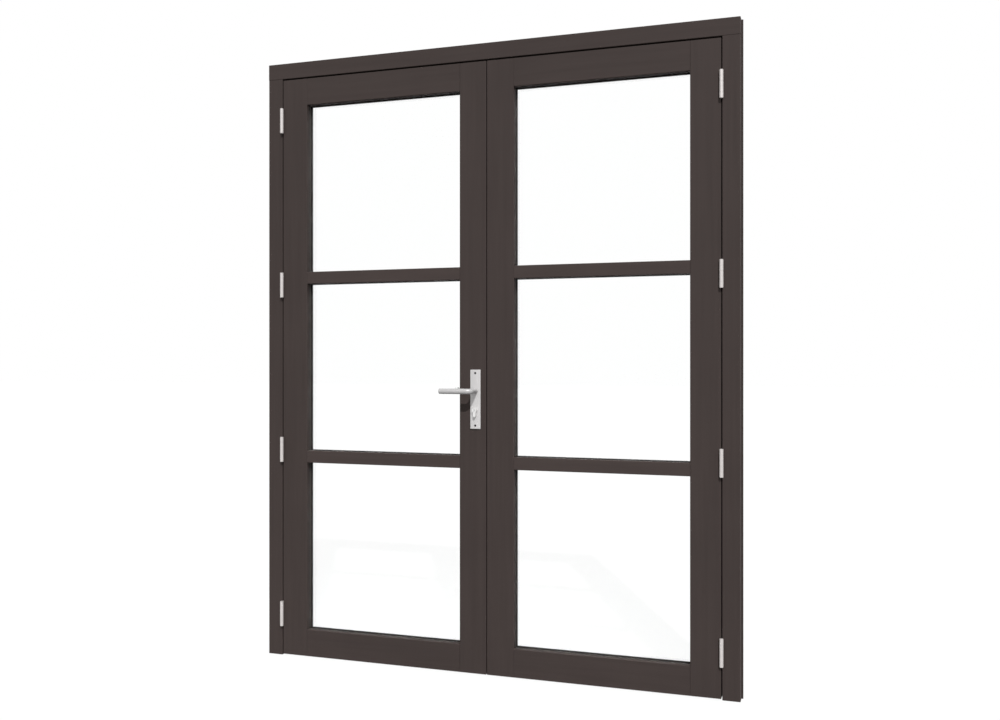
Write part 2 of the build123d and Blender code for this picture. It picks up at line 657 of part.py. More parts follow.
def make_cylinder():
    """The profile cylinder through the lock, and the plug that the key turns with its cam."""
    reach = LEAF_T / 2 + PLATE_MID_T + CYLINDER_OUT
    with BuildPart() as body:
        with BuildSketch(Plane.XZ.offset(-reach)):
            keyhole_outline()
        extrude(amount=2 * reach)
        cross_hole(SPINDLE_X, CYLINDER_Z, PLUG_R + PIN_PLAY, (-reach, reach))
        block((SPINDLE_X - CYLINDER_R, SPINDLE_X + CYLINDER_R), (-CAM_SLOT_W / 2, CAM_SLOT_W / 2),
              (CYLINDER_Z - CAM_SLOT_LOW, CYLINDER_Z + CYLINDER_R), Mode.SUBTRACT)
    save(body.part, "cylinder_body")
    width, height, depth = KEYWAY
    with BuildPart() as plug:
        with BuildSketch(Plane.XZ.offset(-reach)):
            with Locations((SPINDLE_X, CYLINDER_Z)):
                Circle(PLUG_R)
        extrude(amount=2 * reach)
        with BuildSketch(Plane.XZ.offset(-CAM_W / 2)):
            with Locations((SPINDLE_X, CYLINDER_Z)):
                Circle(CAM_RING_R)
            with Locations((SPINDLE_X, CYLINDER_Z - CAM_REACH / 2)):
                Rectangle(CAM_TONGUE_T, CAM_REACH)
        extrude(amount=CAM_W)
        for face in (-1, 1):
            block((SPINDLE_X - width / 2, SPINDLE_X + width / 2),
                  (face * (reach - depth), face * reach),
                  (CYLINDER_Z - height / 2, CYLINDER_Z + height / 2), Mode.SUBTRACT)
    save(plug.part, "cylinder_plug")


def make_lock_case():
    """A thin steel case behind its forend, open for both bolts, the spindle and the cylinder."""
    mouth = -EDGE_MEET - FOREND[2]
    back = mouth - CASE_DEPTH
    with BuildPart() as case:
        block((mouth, back), (-CASE_T / 2, CASE_T / 2), CASE_Z)
        inner_y = CASE_T / 2 - CASE_WALL
        block((mouth, back + CASE_WALL), (-inner_y, inner_y),
              (CASE_Z[0] + CASE_WALL, CASE_Z[1] - CASE_WALL), Mode.SUBTRACT)
        with BuildSketch(Plane.YZ.offset(mouth)):
            with Locations((0, FOREND_Z)):
                SlotOverall(FOREND[0], FOREND[1], rotation=90)
        extrude(amount=FOREND[2])
        for z, size in ((LATCH_Z, LATCH_SIZE), (DEAD_Z, DEAD_SIZE)):
            block((mouth, -EDGE_MEET), (-size[1] / 2 - FIT, size[1] / 2 + FIT),
                  (z - size[2] / 2 - FIT, z + size[2] / 2 + FIT), Mode.SUBTRACT)
        for z in (FOREND_Z - EDGE_SCREW_PITCH / 2, FOREND_Z + EDGE_SCREW_PITCH / 2):
            side_screw_hole(-EDGE_MEET, 0, z, -1, (EDGE_SCREW_R, EDGE_SCREW_HEAD_R), FOREND[2])
        side_screw_hole(-EDGE_MEET, 0, LEG_Z, -1, (CYLINDER_SCREW_R, EDGE_SCREW_HEAD_R), FOREND[2])
        cross_hole(SPINDLE_X, SPINDLE_Z, SPINDLE_SQUARE, (-CASE_T / 2, CASE_T / 2))
        with BuildSketch(Plane.XZ.offset(-CASE_T / 2)):
            keyhole_outline()
        extrude(amount=CASE_T, mode=Mode.SUBTRACT)
    save(case.part, "lock_case")


def make_bolts():
    """The latch bolt, thrown and bevelled on its closing side, and the dead bolt, drawn back."""
    length, thick, height = LATCH_SIZE
    tip = -EDGE_MEET + LATCH_THROW
    with BuildPart() as latch:
        with BuildSketch(Plane.XY.offset(LATCH_Z - height / 2)):
            with BuildLine():
                Polyline((tip - length, -thick / 2), (tip, -thick / 2),
                         (tip, -thick / 2 + LATCH_NOSE), (tip - LATCH_BEVEL, thick / 2),
                         (tip - length, thick / 2), close=True)
            make_face()
        extrude(amount=height)
    save(latch.part, "latch_bolt")
    length, thick, height = DEAD_SIZE
    tip = -EDGE_MEET - FIT
    with BuildPart() as dead:
        block((tip - length, tip), (-thick / 2, thick / 2), (DEAD_Z - height / 2, DEAD_Z + height / 2))
    save(dead.part, "dead_bolt")


def make_strike():
    """The plate in the passive leaf's edge that both bolts shoot through."""
    with BuildPart() as strike:
        with BuildSketch(Plane.YZ.offset(EDGE_MEET)):
            with Locations((0, FOREND_Z)):
                SlotOverall(FOREND[0], FOREND[1], rotation=90)
        extrude(amount=STRIKE_T)
        for z, size in ((LATCH_Z, LATCH_SIZE), (DEAD_Z, DEAD_SIZE)):
            half_y, half_z = size[1] / 2 + BOLT_SLOT_ROOM, size[2] / 2 + BOLT_SLOT_ROOM
            block((EDGE_MEET, EDGE_MEET + STRIKE_T), (-half_y, half_y), (z - half_z, z + half_z),
                  Mode.SUBTRACT)
        for z in (FOREND_Z - EDGE_SCREW_PITCH / 2, FOREND_Z + EDGE_SCREW_PITCH / 2):
            side_screw_hole(EDGE_MEET, 0, z, 1, (EDGE_SCREW_R, EDGE_SCREW_HEAD_R), STRIKE_T)
    save(strike.part, "strike_plate")


def make_flush_bolt(end, name):
    """A flush bolt: its slotted edge plate with two guides, and the rod with its thumb piece."""
    near, far = bolt_plate_levels(end)[1:]
    tip, tail, thumb = bolt_rod_levels(end)
    x_rod = EDGE_MEET + BOLT_INSET
    x_plate = EDGE_MEET + BOLT_PLATE[2]
    shoulder = BOLT_R + BOLT_SHOULDER
    slot_y = THUMB_W / 2 + THUMB_SINK
    guides = (near - end * BOLT_GUIDE_H, tail + end * (BOLT_GUIDE_H + BOLT_GUIDE_FROM_TAIL))
    with BuildPart() as housing:
        with BuildSketch(Plane.YZ.offset(EDGE_MEET)):
            with Locations((0, (near + far) / 2)):
                SlotOverall(BOLT_PLATE[0], BOLT_PLATE[1], rotation=90)
        extrude(amount=BOLT_PLATE[2])
        for z in guides:
            block((x_plate, x_rod + BOLT_R + BOLT_GUIDE_WALL), (-shoulder, shoulder),
                  (z, z + end * BOLT_GUIDE_H))
            with Locations((x_rod, 0, z + end * BOLT_GUIDE_H / 2)):
                Cylinder(BOLT_R + PIN_PLAY, BOLT_GUIDE_H, mode=Mode.SUBTRACT)
        slot_end = THUMB_H / 2 + THUMB_ROOM
        block((EDGE_MEET, x_plate), (-slot_y, slot_y),
              (thumb - end * slot_end, thumb + end * (BOLT_THROW + slot_end)), Mode.SUBTRACT)
        middle = (near + far) / 2
        for z in (middle - BOLT_PLATE_SCREW_PITCH / 2, middle + BOLT_PLATE_SCREW_PITCH / 2):
            side_screw_hole(EDGE_MEET, 0, z, 1, (EDGE_SCREW_R, EDGE_SCREW_HEAD_R), BOLT_PLATE[2])
    save(housing.part, f"{name}_bolt_housing")
    with BuildPart() as bolt:
        with Locations((x_rod, 0, (tip + tail) / 2)):
            Cylinder(BOLT_R, BOLT_L)
        block((EDGE_MEET + THUMB_SINK, x_rod), (-THUMB_W / 2, THUMB_W / 2),
              (thumb - THUMB_H / 2, thumb + THUMB_H / 2))
    save(bolt.part, f"{name}_flush_bolt")


def make_bolt_keep():
    """The plate let into the head that the upper flush bolt enters."""
    with BuildPart() as keep:
        with BuildSketch(Plane.XY.offset(HEAD_UNDER)):
            with Locations((EDGE_MEET + BOLT_INSET, 0)):
                Rectangle(KEEP[0], KEEP[1])
                Circle(BOLT_R + KEEP_PLAY, mode=Mode.SUBTRACT)
        extrude(amount=KEEP[2])
        for offset in (-KEEP_SCREW_PITCH / 2, KEEP_SCREW_PITCH / 2):
            with Locations(Location((EDGE_MEET + BOLT_INSET + offset, 0, HEAD_UNDER), (180, 0, 0))):
                CounterSinkHole(KEEP_SCREW_R, KEEP_SCREW_HEAD_R, depth=KEEP[2])
    save(keep.part, "bolt_keep")


def make_meeting_seal():
    """A bulb strip in the passive leaf's meeting edge, just clear of the active leaf."""
    bulb_x = -EDGE_MEET + FIT + MEETING_BULB_R
    with BuildPart() as seal:
        with BuildSketch(Plane.XY.offset(LEAF_LOW)):
            with Locations((EDGE_MEET + (SEAL_ROOT - SEAL_LIP) / 2, Y_MEETING_SEAL)):
                Rectangle(SEAL_ROOT + SEAL_LIP, SEAL_W)
            with Locations((bulb_x, Y_MEETING_SEAL)):
                Circle(MEETING_BULB_R)
        extrude(amount=LEAF_TOP - LEAF_LOW)
    save(seal.part, "meeting_seal")


for side_name, side_sign in SIDES.items():
    make_jamb(side_sign, f"{side_name}_jamb")
    make_hinge_stile(side_sign, side_name)
    make_cross_member(side_sign, f"{side_name}_bottom_rail", LEAF_LOW, RAIL_H,
                      (RAIL_TENON_L, RAIL_TENON_H), (1,))
    make_cross_member(side_sign, f"{side_name}_top_rail", LEAF_TOP - RAIL_H, RAIL_H,
                      (RAIL_TENON_L, RAIL_TENON_H), (-1,))
    for bar_name, bar_low in zip(("lower", "upper"), BAR_LOWS):
        make_cross_member(side_sign, f"{side_name}_{bar_name}_bar", bar_low, BAR_H,
                          (BAR_TENON_L, BAR_TENON_H), (-1, 1))
    make_glazing(side_sign, side_name)
    make_hinges(side_sign, side_name)
make_head()
make_stops()
make_frame_gasket()
make_hinge_pins()
make_active_stile()
make_passive_stile()
make_lock_case()
make_bolts()
make_cylinder()
make_spindle()
make_plate(-1, "outer_plate")
make_plate(1, "inner_plate")
make_lever(-1, "outer_lever")
make_lever(1, "inner_lever")
make_plate_screws()
make_strike()
make_flush_bolt(1, "upper")
make_flush_bolt(-1, "lower")
make_bolt_keep()
make_meeting_seal()
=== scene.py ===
"""The french doors' finishes: satin paint on timber, glass, metals, rubber, small screws and the light."""
import math

import bpy
from mathutils import Matrix, Vector


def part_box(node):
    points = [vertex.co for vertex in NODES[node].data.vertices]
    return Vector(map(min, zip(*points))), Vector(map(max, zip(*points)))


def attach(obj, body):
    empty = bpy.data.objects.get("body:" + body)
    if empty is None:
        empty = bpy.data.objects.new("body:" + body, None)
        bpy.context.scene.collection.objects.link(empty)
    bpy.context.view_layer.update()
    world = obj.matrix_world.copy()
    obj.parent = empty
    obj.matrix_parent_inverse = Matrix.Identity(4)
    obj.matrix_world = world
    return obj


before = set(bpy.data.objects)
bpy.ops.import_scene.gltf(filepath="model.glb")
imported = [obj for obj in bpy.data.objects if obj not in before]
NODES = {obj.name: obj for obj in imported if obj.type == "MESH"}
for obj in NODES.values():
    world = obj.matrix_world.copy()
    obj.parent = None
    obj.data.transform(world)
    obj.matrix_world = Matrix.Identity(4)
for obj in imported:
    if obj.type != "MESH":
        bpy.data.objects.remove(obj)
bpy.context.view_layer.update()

# Camera, as the photo's vanishing points give it
CAMERA_PLACE = (1.1835, -3.4614, 1.147)
CAMERA_TURN = 18.24
CAMERA_LENS = 36
CAMERA_SENSOR = 36

# Sun and sky, with angles in degrees
SUN_AZIMUTH = 25
SUN_HEIGHT = 43.2
SUN_STRENGTH = 2.62
SUN_ANGLE = 0.8
SUN_AWAY = 6
SKY_STRENGTH = 0.56
SEEN_SKY = 1.0

# Floor: the tone that lights the doors, then the glow and tone that the camera sees
FLOOR_SIZE = 80
FLOOR_TONE = 0.22
FLOOR_ROUGH = 0.9
FLOOR_SHINE = 0.1
FLOOR_GLOW = 0.89
FLOOR_SHADE = 0.12

# Noise patterns: scale, detail, roughness
FINE_GRAIN = (330, 4, 0.6)
BROAD_GRAIN = (60, 3, 0.55)
PAINT_PEEL = (900, 2, 0.4)
PAINT_CLOUD = (3.0, 3, 0.5)
GLASS_RIPPLE = (1.6, 1, 0.4)
GLASS_FILM = (7, 4, 0.6)
RUBBER_SPECK = (1400, 3, 0.6)
RUBBER_CLOUD = (12, 2, 0.5)
FINE_BRUSH = (2600, 3, 0.6)
BROAD_BRUSH = (420, 2, 0.5)
SMUDGE = (28, 3, 0.55)

# The spans of noise values that a look is spread over
TONE_SPAN = (0.36, 0.64)
PAINT_ROUGH_SPAN = (0.12, 0.4)
FILM_SPAN = (0.5, 0.9)
SPECK_SPAN = (0.3, 0.7)
WORN_SPAN = (0.35, 0.65)

# In every look a relief is a bump's depth in metres and its strength

# Paint
PAINT = (0.054, 0.0415, 0.0385)
PAINT_TONES = (0.92, 1.08)
PAINT_ROUGH = (0.56, 0.70)
PAINT_SHINE = 0.12
PAINT_RELIEF = (0.00012, 0.6)
# Painted light: the glazing bars' paint is made this much lighter, for the light they catch
BAR_PAINTED_LIGHT_LIFT = 1.13
GRAIN_RUN = 0.035
GRAIN_TONE_SHARE = 0.5
GRAIN_RELIEF_SHARE = 0.6

# Glass
GLASS_DIM = (0.994, 0.999, 0.997)
GLASS_CLEAR = (1.0, 1.0, 1.0)
GLASS_ROUGH = (0.0, 0.012)
GLASS_RELIEF = (0.00002, 0.3)
GLASS_BENDING = 1.5
GLASS_SHADOW = (0.93, 0.95, 0.94, 1)

# Rubber
RUBBER_DARK = (0.010, 0.010, 0.011)
RUBBER_PALE = (0.022, 0.022, 0.023)
RUBBER_ROUGH = (0.55, 0.78)
RUBBER_RELIEF = (0.00006, 0.5)

# Metals: colour, roughness, brushing axis, metallic share. A lower share makes a softer, paler sheen
METALS = {
    "hinge_steel": ((0.655, 0.615, 0.60), 0.40, "Z", 0.5),
    "satin_aluminium": ((0.63, 0.617, 0.615), 0.45, "Z", 0.2),
    # Painted shade: the lever's colour is a darker copy of the plates' satin aluminium, for the shade on its
    # round bar; its brushing along the bar is the metal's own
    "satin_lever_painted_shade": ((0.515, 0.507, 0.507), 0.42, "X", 0.2),
    "lock_steel": ((0.62, 0.61, 0.60), 0.38, "Z", 1.0),
    "satin_nickel": ((0.79, 0.78, 0.775), 0.34, "Y", 0.5),
    "screw_steel": ((0.045, 0.045, 0.047), 0.40, "X", 1.0),
    "bronze_spacer": ((0.060, 0.053, 0.049), 0.5, "X", 0.5),
}
METAL_NODES = {
    "hinge_steel": ("_leaf_half", "_frame_halves", "hinge_pins"),
    "satin_aluminium": ("outer_plate", "inner_plate"),
    "satin_lever_painted_shade": ("_lever",),
    "lock_steel": ("lock_case", "latch_bolt", "dead_bolt", "spindle", "strike_plate", "bolt_keep",
                   "_bolt_housing", "_flush_bolt"),
    "satin_nickel": ("cylinder_body", "cylinder_plug"),
    "screw_steel": ("plate_screws",),
    "bronze_spacer": ("_glass_spacers",),
}
BRUSH_RUN = 0.03
BRUSH_STREAK = 0.06
BRUSH_TONE_SHARE = 0.5
BRUSH_WEAR_SHARE = 0.6
BRUSH_RELIEF = (0.00003, 0.6)
SMOOTHER = 0.05
ROUGHER = 0.07

# Small screws, in metres: head radius, shank radius, head depth, shank length
HINGE_SCREW = (0.0039, 0.0021, 0.0018, 0.022)
EDGE_SCREW = (0.0039, 0.0021, 0.0018, 0.016)
CYLINDER_SCREW = (0.0039, 0.0025, 0.0018, 0.034)
KEEP_SCREW = (0.0031, 0.0017, 0.0014, 0.014)
SCREW_SINK = 0.00005
SCREW_SIDES = 24
SMOOTH_ANGLE = 30

# Shares of the head's radius: its rim, the face's rise above the rim, and the width of the cross's arms
RIM_W = 0.1
FACE_RISE = 0.05
CROSS_ARM_W = 0.24

# Shares of the shank's radius: its tip, and the bars that cut the cross, half of which is in the head
SCREW_TIP = 0.5
CROSS_ARM_L = 2.3
CROSS_BAR_H = 1.8

# How a bar of the cross narrows to its foot, and the cosine that tells a face on top or underneath
CROSS_TAPER = (0.45, 0.75, 1)
LEVEL_FACE = 0.9

# Each screw stops at its own angle in degrees, by its number and by the length of its row's name
TURN_BY_NUMBER = 37
TURN_BY_NAME = 11

# Screws in a hinge flap, in metres: up from the hinge's middle and in from the leaf's front
HINGES = 4
HINGE_SCREW_SPOTS = ((-0.036, 0.009), (-0.013, 0.020), (0.013, 0.009), (0.036, 0.020))

# Plates in the meeting edges: node, the way its screws face, their pitch, body
EDGE_PLATES = (
    ("lock_case", 1, 0.208, "left_leaf"),
    ("strike_plate", -1, 0.208, "right_leaf"),
    ("upper_bolt_housing", -1, 0.132, "right_leaf"),
    ("lower_bolt_housing", -1, 0.132, "right_leaf"),
)
KEEP_SCREW_PITCH = 0.024
CYLINDER_SCREW_UP = 0.005

# The seal between the inner pane and its beads
INNER_SEAL_W = 0.0026
INNER_SEAL_T = 0.0022
INNER_SEAL_ROUND = 0.35 * INNER_SEAL_T
ROUND_STEPS = 2


def nodes_ending(*endings):
    """The CAD nodes whose names end in one of the words."""
    return [node for name, node in NODES.items() if name.endswith(endings)]


def new_material(name):
    """A node material with its output and one Principled shader."""
    material = bpy.data.materials.new(name)
    material.use_nodes = True
    tree = material.node_tree
    tree.nodes.clear()
    output = tree.nodes.new("ShaderNodeOutputMaterial")
    shader = tree.nodes.new("ShaderNodeBsdfPrincipled")
    tree.links.new(shader.outputs["BSDF"], output.inputs["Surface"])
    return material, tree, shader


def add_node(tree, kind, **values):
    """A node of a kind, with its sockets set by name and its options by attribute."""
    node = tree.nodes.new(kind)
    for key, value in values.items():
        if key in node.inputs:
            node.inputs[key].default_value = value
        else:
            setattr(node, key, value)
    return node


def object_coordinates(tree, along=None, run=1.0):
    """Object coordinates, stretched along one axis where a run under 1 is given."""
    place = tree.nodes.new("ShaderNodeTexCoord")
    mapping = add_node(tree, "ShaderNodeMapping")
    mapping.inputs["Scale"].default_value = [run if axis == along else 1.0 for axis in "XYZ"]
    tree.links.new(place.outputs["Object"], mapping.inputs["Vector"])
    return mapping.outputs["Vector"]


def noise(tree, vector, scale, detail, rough):
    """A noise texture's value."""
    node = add_node(tree, "ShaderNodeTexNoise", Scale=scale, Detail=detail, Roughness=rough)
    tree.links.new(vector, node.inputs["Vector"])
    return node.outputs["Fac"]


def spread(tree, value, results, span=(0.0, 1.0)):
    """Maps a value from a span to a pair of results, clamped."""
    node = add_node(tree, "ShaderNodeMapRange")
    for socket, number in zip(("From Min", "From Max", "To Min", "To Max"), (*span, *results)):
        node.inputs[socket].default_value = number
    tree.links.new(value, node.inputs["Value"])
    return node.outputs["Result"]


def maths(tree, operation, first, second):
    """Two values, each a socket or a number, joined by a maths operation."""
    node = add_node(tree, "ShaderNodeMath", operation=operation)
    for socket, value in zip(node.inputs, (first, second)):
        if isinstance(value, (int, float)):
            socket.default_value = value
        else:
            tree.links.new(value, socket)
    return node.outputs[0]


def blend(tree, first, second, share):
    """A share of the first value plus the rest of the second."""
    first_part = maths(tree, "MULTIPLY", first, share)
    second_part = maths(tree, "MULTIPLY", second, 1 - share)
    return maths(tree, "ADD", first_part, second_part)


def tint(tree, value, dark, light):
    """A colour between two, by a value from 0 to 1."""
    node = add_node(tree, "ShaderNodeMix", data_type="RGBA")
    node.inputs["A"].default_value = (*dark, 1)
    node.inputs["B"].default_value = (*light, 1)
    tree.links.new(value, node.inputs["Factor"])
    return node.outputs["Result"]


def bump(tree, height, depth, strength):
    """A bump normal from a height, with its depth in metres."""
    node = add_node(tree, "ShaderNodeBump", Strength=strength, Distance=depth)
    tree.links.new(height, node.inputs["Height"])
    return node.outputs["Normal"]


def shade(colour, factor):
    """A colour made darker or lighter."""
    return tuple(channel * factor for channel in colour)


def choose_shader(tree, factor, first, second):
    """Gives the material's output the first shader where the factor is 0 and the second where it is 1."""
    mix = tree.nodes.new("ShaderNodeMixShader")
    tree.links.new(factor, mix.inputs["Fac"])
    tree.links.new(first.outputs[0], mix.inputs[1])
    tree.links.new(second.outputs[0], mix.inputs[2])
    output = next(node for node in tree.nodes if node.type == "OUTPUT_MATERIAL")
    tree.links.new(mix.outputs["Shader"], output.inputs["Surface"])


def painted_timber(name, along, lighter=1.0):
    """Satin paint on planed timber, whose grain just shows through along one axis."""
    material, tree, shader = new_material(name)
    grain_place = object_coordinates(tree, along, GRAIN_RUN)
    plain_place = object_coordinates(tree)
    grain = noise(tree, grain_place, *FINE_GRAIN)
    broad_grain = noise(tree, grain_place, *BROAD_GRAIN)
    peel = noise(tree, plain_place, *PAINT_PEEL)
    cloud = noise(tree, plain_place, *PAINT_CLOUD)
    tone = spread(tree, blend(tree, broad_grain, cloud, GRAIN_TONE_SHARE), (0, 1), TONE_SPAN)
    # A factor over 1 makes a lighter copy of the paint: painted light
    dark, light = (shade(PAINT, step * lighter) for step in PAINT_TONES)
    tree.links.new(tint(tree, tone, dark, light), shader.inputs["Base Color"])
    cloudy_grain = maths(tree, "MULTIPLY", grain, cloud)
    tree.links.new(spread(tree, cloudy_grain, PAINT_ROUGH, PAINT_ROUGH_SPAN), shader.inputs["Roughness"])
    shader.inputs["Specular IOR Level"].default_value = PAINT_SHINE
    height = blend(tree, grain, peel, GRAIN_RELIEF_SHARE)
    tree.links.new(bump(tree, height, *PAINT_RELIEF), shader.inputs["Normal"])
    return material


def clear_glass():
    """Clear float glass that lets the sun's light straight through."""
    material, tree, shader = new_material("clear_glass")
    place = object_coordinates(tree)
    ripple = noise(tree, place, *GLASS_RIPPLE)
    film = noise(tree, place, *GLASS_FILM)
    tree.links.new(tint(tree, film, GLASS_DIM, GLASS_CLEAR), shader.inputs["Base Color"])
    tree.links.new(spread(tree, film, GLASS_ROUGH, FILM_SPAN), shader.inputs["Roughness"])
    tree.links.new(bump(tree, ripple, *GLASS_RELIEF), shader.inputs["Normal"])
    shader.inputs["IOR"].default_value = GLASS_BENDING
    shader.inputs["Transmission Weight"].default_value = 1.0
    light = tree.nodes.new("ShaderNodeLightPath")
    through = add_node(tree, "ShaderNodeBsdfTransparent", Color=GLASS_SHADOW)
    choose_shader(tree, light.outputs["Is Shadow Ray"], shader, through)
    return material


def black_rubber():
    """Matt black rubber with a fine moulded skin."""
    material, tree, shader = new_material("black_rubber")
    place = object_coordinates(tree)
    speck = noise(tree, place, *RUBBER_SPECK)
    cloud = noise(tree, place, *RUBBER_CLOUD)
    tree.links.new(tint(tree, cloud, RUBBER_DARK, RUBBER_PALE), shader.inputs["Base Color"])
    tree.links.new(spread(tree, speck, RUBBER_ROUGH, SPECK_SPAN), shader.inputs["Roughness"])
    tree.links.new(bump(tree, speck, *RUBBER_RELIEF), shader.inputs["Normal"])
    return material


def satin_metal(name, colour, rough, along, metallic):
    """Metal with fine and broad brushing along one axis and faint smudges."""
    material, tree, shader = new_material(name)
    brush_place = object_coordinates(tree, along, BRUSH_RUN)
    brush = noise(tree, brush_place, *FINE_BRUSH)
    broad_brush = noise(tree, brush_place, *BROAD_BRUSH)
    smudge = noise(tree, object_coordinates(tree), *SMUDGE)
    shader.inputs["Metallic"].default_value = metallic
    tone = spread(tree, blend(tree, brush, broad_brush, BRUSH_TONE_SHARE), (0, 1), TONE_SPAN)
    dark, light = (shade(colour, 1 + step) for step in (-BRUSH_STREAK, BRUSH_STREAK))
    tree.links.new(tint(tree, tone, dark, light), shader.inputs["Base Color"])
    worn = blend(tree, brush, smudge, BRUSH_WEAR_SHARE)
    roughness = spread(tree, worn, (rough - SMOOTHER, rough + ROUGHER), WORN_SPAN)
    tree.links.new(roughness, shader.inputs["Roughness"])
    tree.links.new(bump(tree, brush, *BRUSH_RELIEF), shader.inputs["Normal"])
    return material


def deselect():
    """Leaves nothing selected."""
    bpy.ops.object.select_all(action="DESELECT")


def take(piece):
    """Selects one piece alone and makes it active."""
    deselect()
    piece.select_set(True)
    bpy.context.view_layer.objects.active = piece


def select_faces(piece, wanted):
    """Selects, in edit mode, only the faces that wanted(face) picks."""
    bpy.ops.object.mode_set(mode="OBJECT")
    for part in (piece.data.vertices, piece.data.edges, piece.data.polygons):
        part.foreach_set("select", [False] * len(part))
    for face in piece.data.polygons:
        face.select = bool(wanted(face))
    bpy.ops.object.mode_set(mode="EDIT")
    bpy.ops.mesh.select_mode(type="FACE")


def looks_up(face):
    """True for a face on top."""
    return face.normal.z > LEVEL_FACE


def looks_down(face):
    """True for a face underneath."""
    return face.normal.z < -LEVEL_FACE


def settle(piece):
    """Leaves a finished piece's object at the origin with its place in its mesh."""
    take(piece)
    bpy.ops.object.transform_apply(location=True, rotation=True, scale=True)
    deselect()
    return piece


def join(pieces, name):
    """One settled piece from several, or from one."""
    take(pieces[0])
    for piece in pieces:
        piece.select_set(True)
    if len(pieces) > 1:
        bpy.ops.object.join()
    joined = bpy.context.object
    joined.name = name
    return settle(joined)


def place_copies(template, name, places):
    """One piece from copies of a template, each put at a place and turned along a direction."""
    copies = []
    for number, (place, outwards) in enumerate(places):
        piece = template.copy()
        piece.data = template.data.copy()
        bpy.context.scene.collection.objects.link(piece)
        facing = Vector(outwards).to_track_quat("Z", "Y").to_matrix().to_4x4()
        angle = math.radians(TURN_BY_NUMBER * number + TURN_BY_NAME * len(name))
        piece.matrix_world = Matrix.Translation(place) @ facing @ Matrix.Rotation(angle, 4, "Z")
        copies.append(piece)
    return join(copies, name)


def countersunk_screw(name, size):
    """A countersunk screw with a cross recess, its head's face at the origin and looking up."""
    head_r, shank_r, head_t, shank_l = size
    deselect()
    bpy.ops.mesh.primitive_cylinder_add(vertices=SCREW_SIDES, radius=head_r, depth=head_t,
                                        location=(0, 0, -head_t / 2))
    screw = bpy.context.object
    screw.name = name
    select_faces(screw, looks_down)
    bpy.ops.transform.resize(value=(shank_r / head_r, shank_r / head_r, 1))
    bpy.ops.mesh.extrude_region_move(TRANSFORM_OT_translate={"value": (0, 0, -shank_l)})
    bpy.ops.transform.resize(value=(SCREW_TIP, SCREW_TIP, 1))
    select_faces(screw, looks_up)
    bpy.ops.mesh.inset(thickness=head_r * RIM_W, depth=head_r * FACE_RISE)
    bpy.ops.object.mode_set(mode="OBJECT")
    for turn in (0, 90):
        arm = cross_arm(head_r, shank_r, turn)
        cut = screw.modifiers.new("cross", "BOOLEAN")
        cut.operation = "DIFFERENCE"
        cut.solver = "EXACT"
        cut.object = arm
        bpy.context.view_layer.objects.active = screw
        bpy.ops.object.modifier_apply(modifier=cut.name)
        bpy.data.objects.remove(arm)
    take(screw)
    bpy.ops.object.shade_smooth_by_angle(angle=math.radians(SMOOTH_ANGLE))
    return settle(screw)


def cross_arm(head_r, shank_r, turn):
    """A tapered bar that cuts one arm of a screw's cross."""
    bpy.ops.mesh.primitive_cube_add(size=1)
    arm = bpy.context.object
    select_faces(arm, looks_down)
    bpy.ops.transform.resize(value=CROSS_TAPER)
    bpy.ops.object.mode_set(mode="OBJECT")
    size = (shank_r * CROSS_ARM_L, head_r * CROSS_ARM_W, shank_r * CROSS_BAR_H, 1)
    arm.matrix_world = Matrix.Rotation(math.radians(turn), 4, "Z") @ Matrix.Diagonal(size)
    return arm


def fit_out(piece, material, body):
    """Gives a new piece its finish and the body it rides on."""
    piece.data.materials.clear()
    piece.data.materials.append(material)
    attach(piece, body)


def hinge_screws(material):
    """Four screws in each hinge flap, on the jamb and on the leaf."""
    template = countersunk_screw("hinge_screw", HINGE_SCREW)
    for side, sign in (("left", -1), ("right", 1)):
        jamb_low, jamb_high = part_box(f"{side}_jamb")
        stile_low, stile_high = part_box(f"{side}_hinge_stile")
        jamb_face = jamb_high.x if sign < 0 else jamb_low.x
        leaf_face = stile_low.x if sign < 0 else stile_high.x
        flaps = (("frame", jamb_face, -sign, "frame"), ("leaf", leaf_face, sign, f"{side}_leaf"))
        for number in range(1, HINGES + 1):
            low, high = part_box(f"{side}_hinge_{number}_leaf_half")
            middle = (low.z + high.z) / 2
            for half, face, away, body in flaps:
                x = face - away * SCREW_SINK
                places = [(Vector((x, stile_low.y + inwards, middle + up)), (away, 0, 0))
                          for up, inwards in HINGE_SCREW_SPOTS]
                screws = place_copies(template, f"{side}_hinge_{number}_{half}_screws", places)
                fit_out(screws, material, body)
    bpy.data.objects.remove(template)


def edge_screws(material):
    """Screws in the forend, the strike and the flush bolt plates, and the one that holds the cylinder."""
    plain = countersunk_screw("edge_screw", EDGE_SCREW)
    long_one = countersunk_screw("cylinder_screw_form", CYLINDER_SCREW)
    small = countersunk_screw("keep_screw_form", KEEP_SCREW)
    for node, away, pitch, body in EDGE_PLATES:
        low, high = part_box(node)
        x = (high.x if away > 0 else low.x) - away * SCREW_SINK
        middle = (low.z + high.z) / 2
        places = [(Vector((x, 0, middle + end * pitch / 2)), (away, 0, 0)) for end in (-1, 1)]
        fit_out(place_copies(plain, f"{node}_screws", places), material, body)
    forend_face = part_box("lock_case")[1].x
    cylinder_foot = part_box("cylinder_body")[0].z
    place = Vector((forend_face - SCREW_SINK, 0, cylinder_foot + CYLINDER_SCREW_UP))
    cylinder_screw = place_copies(long_one, "cylinder_fixing_screw", [(place, (1, 0, 0))])
    fit_out(cylinder_screw, material, "left_leaf")
    low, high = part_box("bolt_keep")
    places = [(Vector(((low.x + high.x + end * KEEP_SCREW_PITCH) / 2, 0, low.z + SCREW_SINK)), (0, 0, -1))
              for end in (-1, 1)]
    fit_out(place_copies(small, "bolt_keep_screws", places), material, "frame")
    for template in (plain, long_one, small):
        bpy.data.objects.remove(template)


